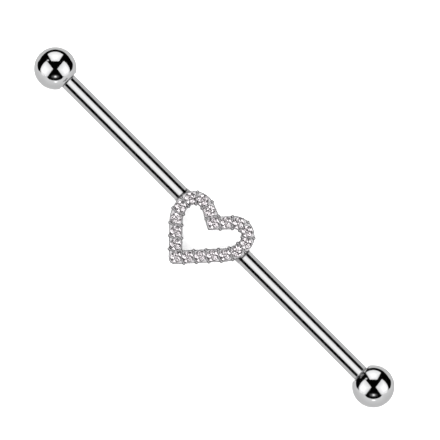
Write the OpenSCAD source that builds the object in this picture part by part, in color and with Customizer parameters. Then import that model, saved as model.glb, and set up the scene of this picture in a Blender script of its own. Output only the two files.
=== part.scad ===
// Industrial ear barbell: a straight bar with an open heart set with round stones
// soldered into its middle, and a threaded ball screwed into each end.
// Millimetres, +Z up. The bar runs along X. The piece lies as it rests on a table:
// on both balls and on the point of the heart.

/* [Bar and balls] */
// Thickness of the bar
bar_d = 1.6; // [1.2:0.1:2.0]
// Free length between the facing sides of the two balls
wear_length = 38; // [32:1:45]
// Size of each ball
ball_d = 4; // [3:0.5:6]
// Distance from a ball's centre to the flat that faces the bar
ball_flat = 1.65; // [1.2:0.05:1.9]
// Slit between a ball's flat and the end of the bar
end_gap = 0.03; // [0.02:0.01:0.1]
// Bevel around each end of the bar
end_bevel = 0.05; // [0.04:0.01:0.15]

/* [Threaded posts] */
// How far each post stands out of its ball
post_len = 1.6; // [1.0:0.1:3.0]
// Outer size of the thread
thread_d = 1.2; // [0.9:0.05:1.3]
// Depth of the thread
thread_depth = 0.12; // [0.08:0.01:0.2]
// Distance from one thread crest to the next
thread_pitch = 0.25; // [0.2:0.05:0.4]
// Room around the thread in its bore
thread_play = 0.03; // [0.02:0.01:0.08]
// Room beyond the end of the post in its bore
bore_spare = 0.4; // [0.2:0.1:1.0]

/* [Heart outline, seen from the front] */
// Distance from the middle of the bar to the left side of the heart
heart_left = 4.27; // [3.5:0.01:5]
// Distance from the middle of the bar to the right side of the heart
heart_right = 3.81; // [3.5:0.01:5]
// Radius of the left lobe
lobe_r_left = 1.98; // [1.7:0.05:2.3]
// Radius of the right lobe
lobe_r_right = 1.9; // [1.7:0.05:2.3]
// Height of the left lobe's centre over the bar's axis
lobe_y_left = -0.31; // [-0.6:0.01:0.2]
// Height of the right lobe's centre over the bar's axis
lobe_y_right = 0.73; // [0.2:0.01:1]
// Sideways place of the point
tip_x = -0.57; // [-1:0.01:0.5]
// Height of the point before it is rounded
tip_y = -5.48; // [-6:0.02:-5]
// Radius that rounds the point
tip_round = 0.56; // [0.3:0.02:0.6]
// Slope of the left flank
flank_left = 46; // [42:0.5:50]
// Slope of the right flank
flank_right = 47.8; // [42:0.1:50]
// Slope of the left lobe's outer edge down to the cleft
cleft_left = 23; // [15:1:35]
// Slope of the left lobe's inner edge down to the cleft
cleft_left_in = 29; // [15:1:40]
// Slope of the right lobe's edges down to the cleft
cleft_right = 47; // [40:1:55]
// Radius that rounds the inner corner of the cleft
cleft_round = 0.14; // [0.05:0.01:0.2]

/* [Heart band] */
// Width of the band
band_w = 1.24; // [1.1:0.02:1.5]
// Thickness of the heart from front to back
heart_t = 1.8; // [1.4:0.1:2.2]
// Height of the small step around the front face
rim_step = 0.07; // [0.03:0.01:0.12]
// Width of the small step around the front face
rim_inset = 0.05; // [0.03:0.01:0.08]
// Width of the rims left beside the channel in the back
channel_rim = 0.24; // [0.15:0.01:0.35]
// Depth of the channel in the back
channel_depth = 0.5; // [0.2:0.05:0.7]
// How far the bar runs into the band
bar_sink = 0.45; // [0.3:0.05:0.6]
// How far the solder creeps out along the bar from the heart's side
solder_len = 0.15; // [0.1:0.05:0.3]
// How much thicker the solder makes the bar's buried end
solder_rise = 0.06; // [0.02:0.01:0.06]

/* [Stones] */
// Size of each stone
stone_d = 1.0; // [0.9:0.02:1.05]
// Stones along the left side, from the point up to the cleft
left_count = 8; // [7:1:9]
// Stones along the right side, from the cleft down to the point
right_count = 10; // [9:1:11]
// How far the stone at the point is moved up
tip_stone_up = 0.08; // [0:0.01:0.15]
// Width of the table as a share of the stone
table_share = 0.58; // [0.5:0.01:0.65]
// Height of the crown
crown_h = 0.16; // [0.1:0.01:0.2]
// Thickness of the girdle
girdle_h = 0.03; // [0.02:0.01:0.05]
// Depth of the pavilion
pavilion_h = 0.42; // [0.35:0.01:0.46]
// Room around a stone in its seat
seat_gap = 0.02; // [0.02:0.005:0.03]
// How far the girdle lies below the front face
girdle_sink = 0.02; // [0:0.01:0.08]

/* [Prongs] */
// Size of the prong heads along the edges of the band
prong_d = 0.34; // [0.26:0.01:0.36]
// Size of the prong tips between the stones
prong_tip_d = 0.24; // [0.2:0.01:0.3]
// How far the prong heads stand out past the edge of the band
prong_out = 0.11; // [0.05:0.01:0.14]
// Height of the prongs' middle over the front face
prong_lift = 0.14; // [0.13:0.01:0.18]
// Length of the prong roots down the wall of the band
prong_root = 0.5; // [0.3:0.05:0.8]
// Distance from a stone's edge out to the middle of a prong tip
prong_hold = 0.1; // [0.08:0.01:0.16]
// How far the outer prong heads on the flanks lean away from the point
prong_lean = 0.22; // [0:0.02:0.24]

/* [Hidden] */
$fn = 72;
eps = 0.01;
arc_step = 5;
bar_r = bar_d / 2;
ball_r = ball_d / 2;
ball_x = wear_length / 2 + ball_r;
shaft_half = ball_x - ball_flat - end_gap;
thread_r = thread_d / 2;
core_r = thread_r - thread_depth;
bore_r = thread_r + thread_play;
bore_depth = post_len + bore_spare;
crest = thread_pitch * 0.15;
neck = thread_pitch * 0.6;
turns = floor((post_len - 2 * neck) / thread_pitch);

front_z = heart_t / 2;
half_band = band_w / 2;
stone_r = stone_d / 2;
seat_r = stone_r + seat_gap;
girdle_z = front_z - girdle_sink;
stone_count = left_count + right_count;
prong_r = prong_d / 2;
prong_tip_r = prong_tip_d / 2;
prong_post_r = prong_r * 0.9;
prong_tongue_r = prong_tip_r * 0.9;
prong_head = half_band + prong_out - prong_r;
// Least distance of a prong tip from the middle of the band
prong_least = 0.22;
// Gaps between stones, counted from the point, that lie on the straight flanks
left_flank_gaps = 4;
right_flank_gaps = 4;

steel = [0.74, 0.75, 0.77];
clear_stone = [0.96, 0.92, 0.95, 0.8];

// Small helpers for points and lines in the plane of the heart

function facing(angle) = [cos(angle), sin(angle)];

function arc(centre, radius, from, to) =
    let (steps = max(1, ceil(abs(to - from) / arc_step)))
    [for (i = [0:steps]) centre + radius * facing(from + (to - from) * i / steps)];

// Where two lines cross; each is given by a point, its normal and its distance along that normal
function crossing(p, n, a, q, m, b) =
    let (
        s = a + p * n,
        t = b + q * m,
        det = n[0] * m[1] - n[1] * m[0]
    )
    [(s * m[1] - t * n[1]) / det, (t * n[0] - s * m[0]) / det];

// The outline is a chain of arcs and lines that meet smoothly: flank, wide side arc, lobe, cleft

tip = [tip_x, tip_y];
out_left = facing(270 - flank_left);
out_right = facing(flank_right - 90);
left_side = [-heart_left, lobe_y_left];
right_side = [heart_right, lobe_y_right];
left_lobe = left_side + [lobe_r_left, 0];
right_lobe = right_side - [lobe_r_right, 0];
side_r_left = (tip - left_side) * out_left / (1 + out_left[0]);
side_r_right = (tip - right_side) * out_right / (1 - out_right[0]);
left_side_centre = left_side + [side_r_left, 0];
right_side_centre = right_side - [side_r_right, 0];

// Each function below gives a stretch of the outline moved inward by d

function tip_corner(d) = crossing(tip, out_left, -d, tip, out_right, -d);

function tip_arc(d) =
    d < tip_round
        ? arc(tip_corner(tip_round), tip_round - d, flank_right - 90, -90 - flank_left)
        : [tip_corner(d)];

function left_slope(d) = cleft_left + (cleft_left_in - cleft_left) * d / band_w;

function cleft_corner(d, back) =
    crossing(
        left_lobe, facing(90 - left_slope(d)), lobe_r_left - d + back,
        right_lobe, facing(90 + cleft_right), lobe_r_right - d + back
    );

function cleft_arc(d) =
    d > half_band
        ? arc(cleft_corner(d, cleft_round), cleft_round, 270 - left_slope(d), 270 + cleft_right)
        : [cleft_corner(d, 0)];

function left_edge(d) =
    concat(
        arc(left_side_centre, side_r_left - d, 270 - flank_left, 180),
        arc(left_lobe, lobe_r_left - d, 180 - arc_step, 90 - left_slope(d))
    );

function right_edge(d) =
    concat(
        arc(right_lobe, lobe_r_right - d, 90 + cleft_right, 0),
        arc(right_side_centre, side_r_right - d, -arc_step / 2, flank_right - 90)
    );

function heart_outline(d) = concat(tip_arc(d), left_edge(d), cleft_arc(d), right_edge(d));

// Stones stand evenly spaced along the middle of the band

left_path = concat([tip_corner(half_band)], left_edge(half_band), [cleft_corner(half_band, 0)]);
right_path = concat([cleft_corner(half_band, 0)], right_edge(half_band), [tip_corner(half_band)]);

function path_length(path, i = 1) =
    i < len(path) ? norm(path[i] - path[i - 1]) + path_length(path, i + 1) : 0;

function point_along(path, dist, i = 1) =
    let (span = norm(path[i] - path[i - 1]))
    dist <= span || i == len(path) - 1
        ? path[i - 1] + (path[i] - path[i - 1]) * min(1, dist / span)
        : point_along(path, dist - span, i + 1);

// A place on the middle line of the band, counted in stones from the point
function on_band(k) =
    k < left_count
        ? point_along(left_path, path_length(left_path) * k / left_count)
        : point_along(right_path, path_length(right_path) * (k - left_count) / right_count);

function stone_place(k) =
    k % stone_count == 0 ? tip_corner(half_band) + [0, tip_stone_up] : on_band(k);

// The rest pose: turned about the bar until the back of the point is as low as the balls

front_outline = heart_outline(0);
reach_down = -min([for (p = front_outline) p[1]]);
reach_up = max([for (p = front_outline) p[1]]);
tilt = asin(ball_r / norm([reach_down, front_z])) - atan2(front_z, reach_down);
far_edge = reach_up * cos(tilt) + front_z * sin(tilt);
near_edge = -(reach_down - rim_inset) * cos(tilt) - front_z * sin(tilt);
near_step = -reach_down * cos(tilt) - (front_z - rim_step) * sin(tilt);
shift_y = -(far_edge + min(near_edge, near_step)) / 2;

module at_rest() {
    translate([0, shift_y, ball_r])
        rotate([tilt, 0, 0])
            children();
}

// Bar

// One half, from its soldered end inside the band at inner_x out to the bore of the ball's post
module bar_half(inner_x) {
    length = shaft_half - inner_x;
    translate([inner_x, 0, 0])
        rotate([0, 90, 0])
            rotate_extrude()
                polygon([
                    [0, 0],
                    [bar_r + solder_rise, 0],
                    [bar_r, bar_sink + solder_len],
                    [bar_r, length - end_bevel],
                    [bar_r - end_bevel, length],
                    [bore_r + end_bevel / 2, length],
                    [bore_r, length - end_bevel / 2],
                    [bore_r, length - bore_depth],
                    [0, length - bore_depth - bore_r / 2]
                ]);
}

module bar() {
    bar_half(heart_right - bar_sink);
    mirror([1, 0, 0])
        bar_half(heart_left - bar_sink);
}

// Heart band, with a step around its front face and a channel in its back

module band(inset, height) {
    linear_extrude(height)
        difference() {
            polygon(heart_outline(inset));
            polygon(heart_outline(band_w - inset));
        }
}

module heart_band() {
    translate([0, 0, -front_z])
        band(0, heart_t - rim_step);
    translate([0, 0, -front_z + eps])
        band(rim_inset, heart_t - eps);
}

module back_channel() {
    translate([0, 0, -front_z - 1])
        band(channel_rim, 1 + channel_depth);
}

module seat() {
    rotate_extrude()
        polygon([
            [0, -girdle_h - pavilion_h - seat_gap],
            [seat_r * 0.2, -girdle_h - pavilion_h - seat_gap],
            [seat_r, -girdle_h - seat_gap],
            [seat_r, 1],
            [0, 1]
        ]);
}

module seats() {
    for (k = [0:stone_count - 1])
        translate(concat(stone_place(k), [girdle_z]))
            seat();
}

// Prongs: a post on each edge of the band at every gap, with a tongue reaching in between two stones

module prong_post(head) {
    translate(concat(head, [front_z])) {
        rotate_extrude()
            polygon([
                [0, -prong_root],
                [prong_post_r, -prong_root + prong_post_r],
                [prong_post_r, prong_lift],
                [0, prong_lift]
            ]);
        translate([0, 0, prong_lift])
            sphere(prong_r);
    }
}

// The tongue starts inside the head, so two tongues can share one head
module prong_tongue(head, end) {
    way = end - head;
    start = prong_r * 0.7;
    translate(concat(head, [front_z + prong_lift]))
        rotate([0, 0, atan2(way[1], way[0])]) {
            translate([start, 0, 0])
                rotate([0, 90, 0])
                    cylinder(norm(way) - start, r = prong_tongue_r);
            translate([norm(way), 0, 0])
                sphere(prong_tip_r);
        }
}

// How far the outer head at gap k leans along the band, away from the point
function lean(k) =
    k < left_flank_gaps ? prong_lean : k >= stone_count - right_flank_gaps ? -prong_lean : 0;

function gap_middle(k) = (stone_place(k) + stone_place(k + 1)) / 2;

function gap_span(k) = norm(stone_place(k + 1) - stone_place(k));

function gap_along(k) = (stone_place(k + 1) - stone_place(k)) / gap_span(k);

function gap_outward(k) = [-gap_along(k)[1], gap_along(k)[0]];

function outer_head(k) = on_band(k + 0.5) + gap_outward(k) * prong_head + gap_along(k) * lean(k);

function inner_head(k) = on_band(k + 0.5) - gap_outward(k) * prong_head;

// Distance of the two prong tips from the middle of gap k
function tip_off(k) =
    sqrt(max(prong_least ^ 2, (stone_r + prong_hold) ^ 2 - (gap_span(k) / 2) ^ 2));

// The two gaps beside the cleft share one outer head, and the two beside the point one inner head
last_gap = stone_count - 1;
cleft_head = (outer_head(left_count - 1) + outer_head(left_count)) / 2;
point_head = (inner_head(0) + inner_head(last_gap)) / 2;

function shared_outer(k) = k == left_count - 1 || k == left_count;

function shared_inner(k) = k == 0 || k == last_gap;

module prongs() {
    prong_post(cleft_head);
    prong_post(point_head);
    for (k = [0:last_gap]) {
        if (!shared_outer(k))
            prong_post(outer_head(k));
        if (!shared_inner(k))
            prong_post(inner_head(k));
        prong_tongue(
            shared_outer(k) ? cleft_head : outer_head(k),
            gap_middle(k) + gap_outward(k) * tip_off(k)
        );
        prong_tongue(
            shared_inner(k) ? point_head : inner_head(k),
            gap_middle(k) - gap_outward(k) * tip_off(k)
        );
    }
}

module bar_and_heart() {
    color(steel)
        at_rest() {
            difference() {
                union() {
                    heart_band();
                    bar();
                }
                back_channel();
                seats();
            }
            prongs();
        }
}

// Ball with its threaded post, pointing along +X

module threaded_post() {
    base = ball_flat - 1;
    rotate([0, 90, 0])
        rotate_extrude()
            polygon(concat(
                [[0, base], [core_r, base], [core_r, ball_flat + neck]],
                [
                    for (i = [0:turns - 1], side = [0:2])
                        let (z = ball_flat + neck + i * thread_pitch)
                        side == 0
                            ? [thread_r, z + thread_pitch / 2 - crest]
                            : side == 1
                                ? [thread_r, z + thread_pitch / 2 + crest]
                                : [core_r, z + thread_pitch]
                ],
                [
                    [core_r, ball_flat + post_len - thread_depth],
                    [core_r - thread_depth, ball_flat + post_len],
                    [0, ball_flat + post_len]
                ]
            ));
}

module ball_end() {
    difference() {
        sphere(ball_r);
        translate([ball_flat, -ball_r, -ball_r])
            cube(ball_d);
    }
    threaded_post();
}

module ball_end_left() {
    color(steel)
        at_rest()
            translate([-ball_x, 0, 0])
                ball_end();
}

module ball_end_right() {
    color(steel)
        at_rest()
            translate([ball_x, 0, 0])
                mirror([1, 0, 0])
                    ball_end();
}

// Round brilliant stone, girdle edge at height zero

table_r = stone_r * table_share;
star_r = (table_r + stone_r) / 2;
star_h = crown_h * (stone_r - star_r * cos(22.5)) / (stone_r - table_r);
lower_r = stone_r * 0.22;
lower_h = -girdle_h - pavilion_h * (stone_r - lower_r * cos(22.5)) / stone_r;

function ring(count, radius, height, first) =
    [for (i = [0:count - 1]) [radius * cos(first + i * 360 / count), radius * sin(first + i * 360 / count), height]];

stone_points = concat(
    ring(8, table_r, crown_h, 0),
    ring(8, star_r, star_h, 22.5),
    ring(16, stone_r, 0, 0),
    ring(16, stone_r, -girdle_h, 0),
    ring(8, lower_r, lower_h, 22.5),
    [[0, 0, -girdle_h - pavilion_h]]
);
star_at = 8;
top_at = 16;
low_at = 32;
lower_at = 48;
culet = 56;

stone_faces = concat(
    [[for (i = [7:-1:0]) i]],
    [for (i = [0:7]) [i, (i + 1) % 8, star_at + i]],
    [for (i = [0:7]) [i, star_at + i, top_at + 2 * i, star_at + (i + 7) % 8]],
    [for (i = [0:7]) [star_at + i, top_at + 2 * i + 1, top_at + 2 * i]],
    [for (i = [0:7]) [star_at + i, top_at + (2 * i + 2) % 16, top_at + 2 * i + 1]],
    [for (i = [0:15]) [top_at + i, top_at + (i + 1) % 16, low_at + (i + 1) % 16, low_at + i]],
    [for (i = [0:7]) [lower_at + i, low_at + 2 * i, low_at + 2 * i + 1]],
    [for (i = [0:7]) [lower_at + i, low_at + 2 * i + 1, low_at + (2 * i + 2) % 16]],
    [for (i = [0:7]) [culet, lower_at + (i + 7) % 8, low_at + 2 * i, lower_at + i]]
);

// Each stone is turned so that a facet edge points along the band
module stone(k) {
    here = stone_place(k);
    next = stone_place(k + 1);
    color(clear_stone)
        at_rest()
            translate(concat(here, [girdle_z]))
                rotate([0, 0, atan2(next[1] - here[1], next[0] - here[0])])
                    polyhedron(stone_points, stone_faces);
}

bar_and_heart();
ball_end_left();
ball_end_right();
stone(0);  // stone_01
stone(1);  // stone_02
stone(2);  // stone_03
stone(3);  // stone_04
stone(4);  // stone_05
stone(5);  // stone_06
stone(6);  // stone_07
stone(7);  // stone_08
stone(8);  // stone_09
stone(9);  // stone_10
stone(10);  // stone_11
stone(11);  // stone_12
stone(12);  // stone_13
stone(13);  // stone_14
stone(14);  // stone_15
stone(15);  // stone_16
stone(16);  // stone_17
stone(17);  // stone_18
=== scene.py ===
import math

import bpy
from mathutils import Matrix, Vector


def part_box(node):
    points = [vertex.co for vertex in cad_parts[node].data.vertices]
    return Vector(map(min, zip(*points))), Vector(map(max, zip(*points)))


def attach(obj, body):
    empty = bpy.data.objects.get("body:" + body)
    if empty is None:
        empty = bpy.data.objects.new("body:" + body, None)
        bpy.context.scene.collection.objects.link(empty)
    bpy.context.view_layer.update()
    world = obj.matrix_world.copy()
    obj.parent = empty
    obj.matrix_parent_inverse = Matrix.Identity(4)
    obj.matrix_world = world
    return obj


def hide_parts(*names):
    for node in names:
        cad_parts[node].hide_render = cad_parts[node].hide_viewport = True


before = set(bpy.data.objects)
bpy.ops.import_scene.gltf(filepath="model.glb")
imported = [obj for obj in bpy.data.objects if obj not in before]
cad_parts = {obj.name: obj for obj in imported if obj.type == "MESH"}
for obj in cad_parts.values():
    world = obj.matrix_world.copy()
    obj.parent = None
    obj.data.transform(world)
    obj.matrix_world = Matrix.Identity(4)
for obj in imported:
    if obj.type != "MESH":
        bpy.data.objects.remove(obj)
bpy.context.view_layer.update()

# Sizes are in metres
MM = 0.001
BALLS = {"ball_end_left": "left_ball", "ball_end_right": "right_ball"}
STONES = sorted(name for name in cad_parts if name.startswith("stone_"))

# The stones that sit at the heart's point and at its cleft
POINT_STONE = "stone_01"
CLEFT_STONE = "stone_09"


# Geometry helpers


def centre(low, high):
    return (low + high) / 2


def spread(first, last, count):
    """This many numbers at even steps, both ends included."""
    return [first + (last - first) * i / (count - 1) for i in range(count)]


def between(table, value):
    """Reads a table of (position, value) rows in rising order, with straight lines in between."""
    for (x0, y0), (x1, y1) in zip(table, table[1:]):
        if value <= x1:
            return y0 + (y1 - y0) * max(0, value - x0) / (x1 - x0)
    return table[-1][1]


def mesh_object(name, vertices, faces, smooth=True):
    mesh = bpy.data.meshes.new(name)
    mesh.from_pydata([tuple(v) for v in vertices], [], faces)
    mesh.polygons.foreach_set("use_smooth", [smooth] * len(mesh.polygons))
    mesh.update()
    obj = bpy.data.objects.new(name, mesh)
    bpy.context.scene.collection.objects.link(obj)
    return obj


# Directions, read from the frame


def ball_radius():
    low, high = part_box("ball_end_left")
    return (high.z - low.z) / 2


def ball_centre(node):
    """The middle of a ball; its node's box also holds the post, which points to the bar's middle."""
    low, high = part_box(node)
    radius = ball_radius()
    x = low.x + radius if low.x + high.x < 0 else high.x - radius
    return Vector((x, centre(low, high).y, centre(low, high).z))


def heart_axes():
    """Unit vectors along the bar, up the heart's face, and out of the face towards the camera."""
    along = Vector((1, 0, 0))
    point = centre(*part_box(POINT_STONE))
    cleft = centre(*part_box(CLEFT_STONE))
    up = cleft - point
    up.x = 0
    up.normalize()
    return along, up, along.cross(up)


# The photograph's bar runs down to the right at this angle
BAR_ANGLE = math.radians(45)

ALONG, HEART_UP, OUT = heart_axes()
BAR_MIDDLE = centre(ball_centre("ball_end_left"), ball_centre("ball_end_right"))
IMAGE_RIGHT = math.cos(BAR_ANGLE) * ALONG + math.sin(BAR_ANGLE) * HEART_UP
IMAGE_UP = -math.sin(BAR_ANGLE) * ALONG + math.cos(BAR_ANGLE) * HEART_UP


# Camera

# The photograph's width, its scale, and the pixel at the bar's middle
PHOTO_SIZE = 440
PIXELS_PER_MM = 10.71
BAR_MIDDLE_IN_PHOTO = (214.35, 227.30)
LENS_MM = 600
SENSOR_MM = 36

# The nearest and the furthest place that the camera sees, in shares of its distance from the bar
NEAREST_SEEN = 0.05
FURTHEST_SEEN = 100


def make_camera():
    width = PHOTO_SIZE / PIXELS_PER_MM * MM
    distance = LENS_MM / SENSOR_MM * width
    right = (PHOTO_SIZE / 2 - BAR_MIDDLE_IN_PHOTO[0]) / PIXELS_PER_MM * MM
    up = (BAR_MIDDLE_IN_PHOTO[1] - PHOTO_SIZE / 2) / PIXELS_PER_MM * MM
    data = bpy.data.cameras.new("camera")
    data.lens = LENS_MM
    data.sensor_width = SENSOR_MM
    data.clip_start = distance * NEAREST_SEEN
    data.clip_end = distance * FURTHEST_SEEN
    camera = bpy.data.objects.new("camera", data)
    bpy.context.scene.collection.objects.link(camera)
    turn = Matrix((IMAGE_RIGHT, IMAGE_UP, OUT)).transposed().to_4x4()
    place = BAR_MIDDLE + right * IMAGE_RIGHT + up * IMAGE_UP + distance * OUT
    camera.matrix_world = Matrix.Translation(place) @ turn
    bpy.context.scene.camera = camera


# Balls

BALL_SIDES = 128
BALL_STEPS = 96

# The small rounded edge where the ball's flat begins
FLAT_BEVEL = 0.06 * MM
FLAT_BEVEL_WIDTH = 1.4 * FLAT_BEVEL
FLAT_BEVEL_STEPS = 4

POST_RADIUS = 0.6 * MM
POST_LENGTH = 1.6 * MM
POST_SIDES = 40

THREAD_DEPTH = 0.12 * MM
THREAD_PITCH = 0.25 * MM
THREAD_ROWS_A_TURN = 10

# The thread's ridge rises between these shares of the way from groove to crest, and runs out at both ends
RIDGE_FOOT = 0.125
RIDGE_CREST = 0.75

# How much radius the post's tip loses over a stretch, as a share of the stretch
TIP_SLOPE = 1.2


def ring_rows(profile, count):
    """Vertices and faces of a surface of revolution about +X, from (x, radius) pairs."""
    vertices, faces, rows = [], [], []
    for x, radius in profile:
        if radius == 0:
            rows.append([len(vertices)])
            vertices.append((x, 0, 0))
            continue
        rows.append(list(range(len(vertices), len(vertices) + count)))
        for i in range(count):
            angle = 2 * math.pi * i / count
            vertices.append((x, radius * math.cos(angle), radius * math.sin(angle)))
    for first, second in zip(rows, rows[1:]):
        for i in range(count):
            j = (i + 1) % count
            corners = [first[i % len(first)], first[j % len(first)]]
            corners += [second[j % len(second)], second[i % len(second)]]
            faces.append(list(dict.fromkeys(corners)))
    return vertices, faces


def ball_profile(radius, flat_x):
    """From the outer pole at -radius round to the flat at flat_x, with a small rounded edge."""
    end = math.acos(-(flat_x - FLAT_BEVEL) / radius)
    turns = spread(0, end, BALL_STEPS + 1)
    profile = [(-radius * math.cos(turn), radius * math.sin(turn)) for turn in turns]
    flat_radius = profile[-1][1] - FLAT_BEVEL_WIDTH
    for turn in spread(0, math.pi / 2, FLAT_BEVEL_STEPS + 1)[1:]:
        x = flat_x - FLAT_BEVEL * (1 - math.sin(turn))
        profile.append((x, flat_radius + FLAT_BEVEL_WIDTH * math.cos(turn)))
    profile.append((flat_x, 0))
    return profile


def thread_radius(x, turn):
    """The post's radius this far along it and this share of a turn round it."""
    phase = (x / THREAD_PITCH - turn) % 1
    to_crest = 1 - abs(2 * phase - 1)
    ridge = min(1, max(0, (to_crest - RIDGE_FOOT) / (RIDGE_CREST - RIDGE_FOOT)))
    fade = max(0, min(1, x / THREAD_PITCH, (POST_LENGTH - x) / THREAD_PITCH))
    core = POST_RADIUS - THREAD_DEPTH
    tip = core - THREAD_DEPTH
    return min(core + THREAD_DEPTH * ridge * fade, tip + TIP_SLOPE * (POST_LENGTH - x))


def thread_rows(flat_x):
    """Vertices and faces of a threaded post."""
    rows = round(POST_LENGTH / THREAD_PITCH * THREAD_ROWS_A_TURN)
    vertices = []
    for x in spread(0, POST_LENGTH, rows + 1):
        for i in range(POST_SIDES):
            radius = thread_radius(x, i / POST_SIDES)
            angle = 2 * math.pi * i / POST_SIDES
            vertices.append((flat_x + x, radius * math.cos(angle), radius * math.sin(angle)))
    faces = []
    for row in range(rows):
        here = row * POST_SIDES
        beyond = here + POST_SIDES
        for i in range(POST_SIDES):
            j = (i + 1) % POST_SIDES
            faces.append([here + i, here + j, beyond + j, beyond + i])
    faces.append(list(range(rows * POST_SIDES, (rows + 1) * POST_SIDES)))
    faces.append(list(range(POST_SIDES - 1, -1, -1)))
    return vertices, faces


def make_ball(node, body, steel):
    """A ball with its threaded post, in place of the CAD node."""
    middle = ball_centre(node)
    inward = -1 if middle.x > 0 else 1
    low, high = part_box(node)
    flat_x = (high.x - low.x) - ball_radius() - POST_LENGTH
    place = Matrix.Translation(middle) @ Matrix.Rotation(0 if inward > 0 else math.pi, 4, "Z")
    for name, (vertices, faces) in (
        (node + "_ball", ring_rows(ball_profile(ball_radius(), flat_x), BALL_SIDES)),
        (node + "_post", thread_rows(flat_x)),
    ):
        piece = mesh_object(name, [place @ Vector(v) for v in vertices], faces)
        piece.data.materials.append(steel)
        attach(piece, body)
        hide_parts(node)
        yield piece


# Shader node helpers


def new_material(name):
    material = bpy.data.materials.new(name)
    material.use_nodes = True
    tree = material.node_tree
    return material, tree, tree.nodes["Principled BSDF"]


def add_node(tree, kind, inputs, output=0, **settings):
    """Makes a shader node; an input is a value or another node's output socket. Returns one output."""
    made = tree.nodes.new("ShaderNode" + kind)
    for key, value in settings.items():
        setattr(made, key, value)
    for key, value in inputs.items():
        if isinstance(value, bpy.types.NodeSocket):
            tree.links.new(value, made.inputs[key])
        else:
            made.inputs[key].default_value = value
    return made.outputs[output]


def object_place(tree, stretch=(1, 1, 1)):
    """The point on the object in metres, stretched along the three axes."""
    place = add_node(tree, "TexCoord", {}, output="Object")
    return add_node(tree, "VectorMath", {0: place, 1: stretch}, operation="MULTIPLY")


def noise(tree, cells, stretch=(1, 1, 1), detail=2.0):
    """Grey noise from 0 to 1 with this many cells to a metre."""
    place = object_place(tree, stretch)
    return add_node(tree, "TexNoise", {"Vector": place, "Scale": cells, "Detail": detail})


def remap(tree, value, low, high, to_low, to_high, smooth=False):
    inputs = {"Value": value, "From Min": low, "From Max": high, "To Min": to_low, "To Max": to_high}
    kind = "SMOOTHSTEP" if smooth else "LINEAR"
    return add_node(tree, "MapRange", inputs, interpolation_type=kind)


def arithmetic(tree, operation, a, b):
    return add_node(tree, "Math", {0: a, 1: b}, operation=operation)


def mix_values(tree, share, first, second):
    return add_node(tree, "Mix", {0: share, 2: first, 3: second})


def mix_colours(tree, share, first, second):
    return add_node(tree, "Mix", {0: share, 6: first, 7: second}, output=2, data_type="RGBA")


def far_from(tree, axis, middle):
    """How far the point on the object lies from this place, along one axis."""
    place = add_node(tree, "SeparateXYZ", {0: object_place(tree)}, output=axis)
    return arithmetic(tree, "ABSOLUTE", arithmetic(tree, "SUBTRACT", place, middle), 0)


# Metal

# The stretch of the bar that the cast heart takes up, and how softly its finish ends
HEART_MIDDLE_X = -0.23 * MM
HEART_HALF_WIDTH = 4.12 * MM
SOLDER_FADE = 0.15 * MM

# The line of painted shade in the crevice where the bar meets the band: its distance from the heart's middle
# along the bar, and its size
JOINT_SHADE_X = 4.07 * MM
JOINT_SHADE_HALF_WIDTH = 0.1 * MM
JOINT_SHADE_REACH = 0.5 * MM
JOINT_SHADE_FADE = 0.15 * MM

# Small edges look rounded by this much
EDGE_ROUNDING = 0.14 * MM
EDGE_SAMPLES = 6

CLEAN_COLOUR = (0.665, 0.665, 0.67, 1)
SMEARED_COLOUR = (0.645, 0.648, 0.655, 1)
CAST_COLOUR = (0.48, 0.47, 0.48, 1)
CAST_GRAIN_COLOUR = (0.58, 0.57, 0.58, 1)
# Colour of the painted shade in the crevice where the bar meets the band
JOINT_SHADE_COLOUR = (0.1, 0.1, 0.1, 1)

POLISHED_ROUGHNESS = (0.035, 0.06)
HAIRLINE_ROUGHNESS = 0.1
CAST_ROUGHNESS = (0.11, 0.17)
POLISHED_RELIEF = 0.00002 * MM
CAST_RELIEF = 0.0008 * MM

# Cells to a metre of the noises, and the grey levels between which each goes from nothing to full
SMEAR_CELLS = 1400
SMEAR_LEVELS = (0.35, 0.7)
GRAIN_CELLS = 14000
GRAIN_LEVELS = (0.35, 0.65)
TURNING_CELLS = 30000
TURNING_STRETCH = (1, 0.02, 0.02)

# Hairlines: cells to a metre and the stretch of the axes, for the lines round the bar and the slanting ones
ROUND_HAIRLINES = (9000, (6, 0.25, 0.25))
SLANTING_HAIRLINES = (7000, (0.3, 5, 0.4))
HAIRLINE_LEVELS = (0.68, 0.72)

# They show only in patches, which are this many times as large as their cells
PATCH_SIZE = 30
PATCH_LEVELS = (0.5, 0.6)


def cast_share(tree):
    """1 on the cast heart, 0 on the drawn bar and the balls."""
    away = far_from(tree, "X", HEART_MIDDLE_X)
    return remap(tree, away, HEART_HALF_WIDTH, HEART_HALF_WIDTH + SOLDER_FADE, 1, 0, smooth=True)


def joint_shade_share(tree):
    """1 on the narrow line of painted crevice shade where the bar is soldered to the band, 0 elsewhere."""
    past_joint_shade = arithmetic(tree, "SUBTRACT", far_from(tree, "X", HEART_MIDDLE_X), JOINT_SHADE_X)
    off_line = arithmetic(tree, "ABSOLUTE", past_joint_shade, 0)
    line = remap(tree, off_line, JOINT_SHADE_HALF_WIDTH / 2, JOINT_SHADE_HALF_WIDTH, 1, 0, smooth=True)
    across = far_from(tree, "Y", BAR_MIDDLE.y)
    on_bar = remap(tree, across, JOINT_SHADE_REACH, JOINT_SHADE_REACH + JOINT_SHADE_FADE, 1, 0)
    return arithmetic(tree, "MULTIPLY", line, on_bar)


def hairlines(tree, cells, stretch):
    """Sparse hairlines: 1 on a line, 0 beside it."""
    thin = remap(tree, noise(tree, cells, stretch, detail=0), *HAIRLINE_LEVELS, 0, 1)
    patches = remap(tree, noise(tree, cells / PATCH_SIZE, detail=1), *PATCH_LEVELS, 0, 1)
    return arithmetic(tree, "MULTIPLY", thin, patches)


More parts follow.
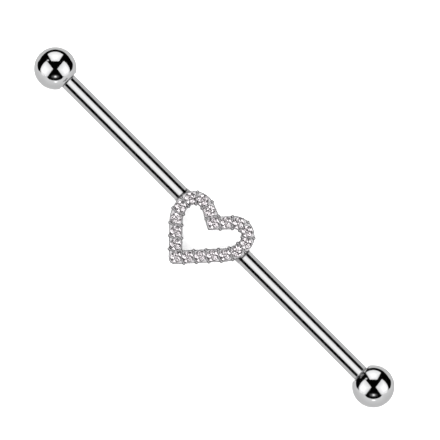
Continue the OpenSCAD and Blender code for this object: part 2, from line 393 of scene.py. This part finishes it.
def steel_colour(tree, cast, smears, grain):
    clean = mix_colours(tree, smears, CLEAN_COLOUR, SMEARED_COLOUR)
    tumbled = mix_colours(tree, grain, CAST_COLOUR, CAST_GRAIN_COLOUR)
    # The last mix paints shade over the metal in the crevice where the bar meets the band
    return mix_colours(tree, joint_shade_share(tree), mix_colours(tree, cast, clean, tumbled), JOINT_SHADE_COLOUR)


def steel_roughness(tree, cast, smears, grain, lines):
    mirror = remap(tree, smears, 0, 1, *POLISHED_ROUGHNESS)
    scratched = arithmetic(tree, "ADD", mirror, remap(tree, lines, 0, 1, 0, HAIRLINE_ROUGHNESS))
    return mix_values(tree, cast, scratched, remap(tree, grain, 0, 1, *CAST_ROUGHNESS))


def steel_normal(tree, cast, grain, lines):
    """Rounded small edges, with turning marks and hairlines on the bar and grain on the heart."""
    rounded_edge = add_node(tree, "Bevel", {"Radius": EDGE_ROUNDING}, samples=EDGE_SAMPLES)
    turning = noise(tree, TURNING_CELLS, TURNING_STRETCH, detail=3)
    relief = mix_values(tree, cast, arithmetic(tree, "SUBTRACT", turning, lines), grain)
    depth = mix_values(tree, cast, POLISHED_RELIEF, CAST_RELIEF)
    inputs = {"Height": relief, "Distance": depth, "Normal": rounded_edge, "Strength": 1.0}
    return add_node(tree, "Bump", inputs)


def steel_material():
    """Mirror polish on the bar and balls, a softer tumbled finish on the cast heart."""
    material, tree, shader = new_material("polished_steel")
    cast = cast_share(tree)
    smears = remap(tree, noise(tree, SMEAR_CELLS), *SMEAR_LEVELS, 0, 1)
    grain = remap(tree, noise(tree, GRAIN_CELLS, detail=4), *GRAIN_LEVELS, 0, 1)
    round_lines = hairlines(tree, *ROUND_HAIRLINES)
    lines = arithmetic(tree, "MAXIMUM", round_lines, hairlines(tree, *SLANTING_HAIRLINES))
    tree.links.new(steel_colour(tree, cast, smears, grain), shader.inputs["Base Color"])
    tree.links.new(steel_roughness(tree, cast, smears, grain, lines), shader.inputs["Roughness"])
    tree.links.new(steel_normal(tree, cast, grain, lines), shader.inputs["Normal"])
    shader.inputs["Metallic"].default_value = 1
    return material


# Stones

STONE_IOR = 2.15

# The two tints between which each stone lies
STONE_COLOURS = ((1.0, 0.95, 0.97, 1), (0.97, 0.9, 0.94, 1))

# Cells to a metre of the cloudy tint and of the polish
CLOUD_CELLS = 2500
POLISH_CELLS = 20000
POLISH_LEVELS = (0.45, 0.75)
STONE_ROUGHNESS = (0.0, 0.03)


def stone_material():
    """Clear cut stone with a faint pink tint that differs a little from stone to stone."""
    material, tree, shader = new_material("clear_stone")
    each = add_node(tree, "ObjectInfo", {}, output="Random")
    tint = arithmetic(tree, "MULTIPLY", arithmetic(tree, "ADD", each, noise(tree, CLOUD_CELLS)), 0.5)
    tree.links.new(mix_colours(tree, tint, *STONE_COLOURS), shader.inputs["Base Color"])
    polish = remap(tree, noise(tree, POLISH_CELLS, detail=3), *POLISH_LEVELS, *STONE_ROUGHNESS)
    tree.links.new(polish, shader.inputs["Roughness"])
    shader.inputs["Transmission Weight"].default_value = 1
    shader.inputs["IOR"].default_value = STONE_IOR
    return material


def paint(node, material):
    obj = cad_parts[node]
    obj.data.materials.clear()
    obj.data.materials.append(material)


# Glowing sheets

# All lie on a sphere of this radius round the bar's middle
STUDIO_RADIUS = 2.0


def glow_material(name):
    """Light without a body: it adds the glow stored on its points and lets every ray through."""
    material = bpy.data.materials.new(name)
    material.use_nodes = True
    tree = material.node_tree
    tree.nodes.clear()
    stored = add_node(tree, "Attribute", {}, output="Fac", attribute_name="glow")
    glow = add_node(tree, "Emission", {"Strength": stored})
    clear = add_node(tree, "BsdfTransparent", {})
    light = add_node(tree, "AddShader", {0: glow, 1: clear})
    out = tree.nodes.new("ShaderNodeOutputMaterial")
    tree.links.new(light, out.inputs["Surface"])
    material.cycles.emission_sampling = "NONE"
    return material


def light_group(name, objects):
    group = bpy.data.collections.new(name)
    for obj in objects:
        group.objects.link(obj)
    return group


def panel(name, directions, faces, glow, lit):
    """A glowing sheet on the large sphere, seen only in the mirror of what it is for."""
    obj = mesh_object(name, [BAR_MIDDLE + STUDIO_RADIUS * d for d in directions], faces)
    stored = obj.data.attributes.new("glow", "FLOAT", "POINT")
    stored.data.foreach_set("value", glow)
    obj.data.materials.append(glow_material(name))
    obj.visible_camera = False
    obj.visible_diffuse = False
    obj.visible_shadow = False
    obj.visible_volume_scatter = False
    obj.light_linking.receiver_collection = lit


def grid_panel(name, rows, glow_rows, lit):
    width = len(rows[0])
    faces = [
        [k * width + i, k * width + i + 1, (k + 1) * width + i + 1, (k + 1) * width + i]
        for k in range(len(rows) - 1)
        for i in range(width - 1)
    ]
    directions = [d for row in rows for d in row]
    panel(name, directions, faces, [g for row in glow_rows for g in row], lit)


# Light on the bar and the heart

# Glow of the sheet over the bar by the angle across the bar, in degrees from the view axis
OVERHEAD_GLOW = [(0, 1.42), (13, 1.28), (20, 1.16), (27, 1.05), (36, 0.85)]
OVERHEAD_HALF_ANGLE = OVERHEAD_GLOW[-1][0]
OVERHEAD_ROWS = 37

# The surround begins at this angle on both sides, and goes round behind the bar
SURROUND_FROM = 76
SURROUND_GLOW = 0.74
SURROUND_ROWS = 49

# It gets darker by this share and bright again along the bar, which gives the heart's walls some shade
SURROUND_DIP = 0.6

# How far the sheets run along the bar, as the tangent of the angle from straight across
STRIP_REACH = 3
STRIP_COLUMNS = 97

# The round sheets past the bar's ends begin this many degrees from the bar's line
END_FROM = 1
END_GLOW = 0.55
END_ROWS = 7
END_COLUMNS = 33


def strip_panel(name, angles, glow_of, dip, lit):
    """A sheet that runs along the bar and spans these angles across it, with soft dips in its glow."""
    rows, glow = [], []
    places = spread(-STRIP_REACH, STRIP_REACH, STRIP_COLUMNS)
    fades = [1 - dip * (1 - math.cos(2 * math.pi * s)) / 2 for s in places]
    for angle in angles:
        across = math.cos(math.radians(angle)) * OUT + math.sin(math.radians(angle)) * HEART_UP
        rows.append([(across + s * ALONG).normalized() for s in places])
        glow.append([glow_of(angle) * fade for fade in fades])
    grid_panel(name, rows, glow, lit)


def end_panel(name, side, lit):
    """A round sheet past one end of the bar, where the strips leave a gap."""
    rows = []
    for angle in spread(END_FROM, 90 - math.degrees(math.atan(STRIP_REACH)), END_ROWS):
        off_line = math.radians(angle)
        rows.append([
            math.cos(off_line) * side * ALONG
            + math.sin(off_line) * (math.cos(turn) * OUT + math.sin(turn) * HEART_UP)
            for turn in spread(0, 2 * math.pi, END_COLUMNS)
        ])
    grid_panel(name, rows, [[END_GLOW] * END_COLUMNS] * END_ROWS, lit)


def light_bar(lit):
    over = spread(-OVERHEAD_HALF_ANGLE, OVERHEAD_HALF_ANGLE, OVERHEAD_ROWS)
    around = spread(SURROUND_FROM, 360 - SURROUND_FROM, SURROUND_ROWS)
    strip_panel("overhead", over, lambda angle: between(OVERHEAD_GLOW, abs(angle)), 0, lit)
    strip_panel("bar_surround", around, lambda angle: SURROUND_GLOW, SURROUND_DIP, lit)
    end_panel("bar_end_left", -1, lit)
    end_panel("bar_end_right", 1, lit)


# Light on the balls

# Places on a ball's disc are in shares of its radius; this is the last one that still mirrors something
RIM_SHARE = 0.99999

# The upper light and the light at the right: straight from corner to corner, then back along a bulge
TOP_CORNERS = [(-0.36, 0.65), (-0.17, 0.325), (0.18, 0.325), (0.36, 0.64)]
TOP_BULGE = [(0.21, 0.725), (0.03, 0.765), (-0.19, 0.74)]
TOP_BRIGHTEST = (0, 0.5)
TOP_GLOWS = (1.75, 1.1)
SIDE_CORNERS = [(0.36, -0.39), (0.1, -0.035), (0.4, 0.345)]
SIDE_BULGE = [(0.565, 0.19), (0.685, -0.06), (0.61, -0.27)]
SIDE_BRIGHTEST = (0.55, -0.12)
SIDE_GLOWS = (1.9, 1.0)

# Oval lights: name, middle, half width and half height, glow in the middle and at the rim
SPOTS = [
    ("corner_glint", (-0.34, 0.365), (0.06, 0.04), (1.4, 0.3)),
    ("low_glow", (0, -0.4), (0.22, 0.1), (0.3, 0.0)),
    ("low_glint", (0.01, -0.4), (0.075, 0.05), (1.6, 0.2)),
    ("rim_glint", (0.02, -0.645), (0.11, 0.035), (1.5, 0.2)),
]

# Where the dark field ends, by the angle round the disc in degrees from the bottom up to the top
DARK_REACH = [
    (-90, 0.58),
    (-70, 0.585),
    (-58, 0.59),
    (-48, 0.565),
    (-40, 0.55),
    (-25, 0.65),
    (-12, 0.715),
    (-5, 0.79),
    (4, 0.82),
    (14, 0.85),
    (22, 0.85),
    (28, 0.82),
    (45, 0.83),
    (65, 0.86),
    (90, 0.875),
]

# Glow of the grey light round the dark field, from its inner edge outwards, at the bottom and at the top
SURROUND_BELOW = [(0, 1.0), (0.3, 0.86), (0.65, 0.74), (1, 0.7)]
SURROUND_ABOVE = [(0, 0.8), (0.5, 0.76), (1, 0.72)]

SURROUND_TURNS = 73
SURROUND_RINGS = 13
DISC_RINGS = 8
EDGE_STEPS = 8
OVAL_POINTS = 24


def mirrored_at(x, y):
    """The direction that a ball mirrors at this place on its disc."""
    share = min(RIM_SHARE, math.hypot(x, y))
    angle = 2 * math.asin(share)
    side = (x * IMAGE_RIGHT + y * IMAGE_UP).normalized() if share > 0 else IMAGE_UP
    return math.cos(angle) * OUT + math.sin(angle) * side


def straight(a, b):
    """Points from a to b, without the last one."""
    return [a.lerp(b, t) for t in spread(0, 1, EDGE_STEPS + 1)[:-1]]


def rounded(points):
    """A smooth curve through these points, without the last one."""
    ends = [2 * points[0] - points[1], *points, 2 * points[-1] - points[-2]]
    curve = []
    for a, b, c, d in zip(ends, ends[1:], ends[2:], ends[3:]):
        slope = (c - a) / 2
        bend = (2 * a - 5 * b + 4 * c - d) / 2
        twist = (3 * b - a - 3 * c + d) / 2
        curve += [b + slope * t + bend * t**2 + twist * t**3 for t in spread(0, 1, EDGE_STEPS + 1)[:-1]]
    return curve


def outline(corners, bulge):
    """Straight from corner to corner, then back to the first one along a smooth curve."""
    corners = [Vector(p) for p in corners]
    bulge = [Vector(p) for p in bulge]
    edges = [straight(a, b) for a, b in zip(corners, corners[1:])]
    return [p for edge in edges for p in edge] + rounded([corners[-1], *bulge, corners[0]])


def oval(middle, half_size):
    (x, y), (half_width, half_height) = middle, half_size
    turns = [2 * math.pi * i / OVAL_POINTS for i in range(OVAL_POINTS)]
    return [Vector((x + half_width * math.cos(t), y + half_height * math.sin(t))) for t in turns]


def disc_panel(name, rim, brightest, glows, lit):
    """A sheet whose mirror image on a ball has this rim; its glow falls evenly from its brightest point."""
    middle = Vector(brightest)
    glow, rim_glow = glows
    points, values = [middle], [glow]
    count = len(rim)
    for share in spread(0, 1, DISC_RINGS + 1)[1:]:
        points += [middle.lerp(p, share) for p in rim]
        values += [glow + (rim_glow - glow) * share] * count
    faces = [[0, 1 + i, 1 + (i + 1) % count] for i in range(count)]
    for ring in range(DISC_RINGS - 1):
        here = 1 + ring * count
        beyond = here + count
        for i in range(count):
            j = (i + 1) % count
            faces.append([here + i, beyond + i, beyond + j, here + j])
    panel(name, [mirrored_at(*p) for p in points], faces, values, lit)


def ball_surround(lit):
    """The grey light that frames the dark field."""
    rows, glow = [], []
    outward = spread(0, 1, SURROUND_RINGS)
    for turn in spread(-180, 180, SURROUND_TURNS):
        near = between(DARK_REACH, abs(turn) - 90)
        shares = [near + (RIM_SHARE - near) * t for t in outward]
        azimuth = math.radians(turn - 90)
        rows.append([mirrored_at(share * math.cos(azimuth), share * math.sin(azimuth)) for share in shares])
        below = (1 - math.sin(azimuth)) / 2
        glow.append([
            below * between(SURROUND_BELOW, t) + (1 - below) * between(SURROUND_ABOVE, t)
            for t in outward
        ])
    grid_panel("ball_surround", rows, glow, lit)


def light_balls(lit):
    right = outline(SIDE_CORNERS, SIDE_BULGE)
    left = [Vector((-p.x, p.y)) for p in right]
    x, y = SIDE_BRIGHTEST
    disc_panel("top_panel", outline(TOP_CORNERS, TOP_BULGE), TOP_BRIGHTEST, TOP_GLOWS, lit)
    disc_panel("right_panel", right, (x, y), SIDE_GLOWS, lit)
    disc_panel("left_panel", left, (-x, y), SIDE_GLOWS, lit)
    for name, middle, half_size, glows in SPOTS:
        disc_panel(name, oval(middle, half_size), middle, glows, lit)
    ball_surround(lit)


# Light on the stones

# Rings of small round lamps: degrees from the view axis, how many, and each lamp's radius in degrees
STONE_LAMPS = [(12, 3, 6.5), (25, 5, 8.4), (43, 7, 8.8), (64, 8, 6.0)]
STONE_LAMP_GLOWS = (1.5, 2.6)
LAMP_SIDES = 8

# Ring number n is turned by n times this share of the space between its lamps
RING_TURN = 0.37

# The sky's waves: how often round the view axis, their twist and their rings down from it, and their contrast
SKY_GLOW = 0.8
SKY_SPOKES = 2
SKY_TWIST = 5
SKY_RINGS = 6
SKY_CONTRAST = 3

# The sky begins this far from the view axis, in radians
SKY_FROM = 0.02
SKY_ROWS = 25
SKY_COLUMNS = 73


def direction(tilt, turn):
    """The unit vector this far from the view axis, turned this far round it."""
    side = math.cos(turn) * IMAGE_RIGHT + math.sin(turn) * IMAGE_UP
    return math.cos(tilt) * OUT + math.sin(tilt) * side


def stone_lamps(lit):
    """Many small lamps, which break up into bright facets."""
    directions, faces, glow = [], [], []
    for ring, (tilt, count, radius) in enumerate(STONE_LAMPS):
        for k in range(count):
            turn = 2 * math.pi * (k + RING_TURN * ring) / count
            middle = direction(math.radians(tilt), turn)
            first = OUT.cross(middle).normalized()
            second = first.cross(middle)
            glow += [STONE_LAMP_GLOWS[len(faces) % len(STONE_LAMP_GLOWS)]] * LAMP_SIDES
            faces.append(list(range(len(directions), len(directions) + LAMP_SIDES)))
            for i in range(LAMP_SIDES):
                angle = 2 * math.pi * i / LAMP_SIDES
                edge = math.cos(angle) * first + math.sin(angle) * second
                directions.append((middle + math.tan(math.radians(radius)) * edge).normalized())
    panel("stone_lamps", directions, faces, glow, lit)


def stone_sky(lit):
    """A dim sky behind the lamps, brighter and darker by turns, which gives the facets different greys."""
    rows, glow = [], []
    turns = spread(0, 2 * math.pi, SKY_COLUMNS)
    for tilt in spread(SKY_FROM, math.pi / 2, SKY_ROWS):
        rows.append([direction(tilt, turn) for turn in turns])
        rings = math.sin(SKY_RINGS * tilt)
        waves = [(1 + math.sin(SKY_SPOKES * turn + SKY_TWIST * tilt) * rings) / 2 for turn in turns]
        glow.append([SKY_GLOW * wave**SKY_CONTRAST for wave in waves])
    grid_panel("stone_sky", rows, glow, lit)


# Floor and world

FLOOR_HALF_WIDTH = 3.0
FLOOR_COLOUR = (0.9, 0.9, 0.9, 1)
FLOOR_ROUGHNESS = 0.9
PALE_COLOUR = (1, 1, 1, 1)
PALE_STRENGTH = 3.0
DARK_COLOUR = (0.001, 0.001, 0.001, 1)


def floor_material():
    material, tree, shader = new_material("pale_floor")
    shader.inputs["Base Color"].default_value = FLOOR_COLOUR
    shader.inputs["Roughness"].default_value = FLOOR_ROUGHNESS
    shader.inputs["Specular IOR Level"].default_value = 0
    return material


def make_floor():
    size = FLOOR_HALF_WIDTH
    corners = [(-size, -size, 0), (size, -size, 0), (size, size, 0), (-size, size, 0)]
    floor = mesh_object("floor", corners, [[0, 1, 2, 3]], smooth=False)
    floor.data.materials.append(floor_material())
    floor.visible_glossy = False


def make_world():
    """Pale for the camera and for the floor's own light; dark for what metal and stones mirror."""
    world = bpy.data.worlds.new("studio")
    bpy.context.scene.world = world
    world.use_nodes = True
    tree = world.node_tree
    tree.nodes.clear()
    seen = add_node(tree, "LightPath", {}, output="Is Camera Ray")
    on_floor = add_node(tree, "LightPath", {}, output="Is Diffuse Ray")
    dark = add_node(tree, "Background", {"Color": DARK_COLOUR})
    pale = add_node(tree, "Background", {"Color": PALE_COLOUR, "Strength": PALE_STRENGTH})
    either = arithmetic(tree, "MAXIMUM", seen, on_floor)
    sky = add_node(tree, "MixShader", {0: either, 1: dark, 2: pale})
    out = tree.nodes.new("ShaderNodeOutputWorld")
    tree.links.new(sky, out.inputs["Surface"])


make_camera()
steel = steel_material()
balls = [piece for node, body in BALLS.items() for piece in make_ball(node, body, steel)]
paint("bar_and_heart", steel)
stone = stone_material()
for name in STONES:
    paint(name, stone)

make_floor()
make_world()
light_bar(light_group("lit_bar", [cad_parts["bar_and_heart"]]))
light_balls(light_group("lit_balls", balls))
on_stones = light_group("lit_stones", [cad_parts[name] for name in STONES])
stone_lamps(on_stones)
stone_sky(on_stones)

bpy.context.scene.view_settings.view_transform = "Standard"
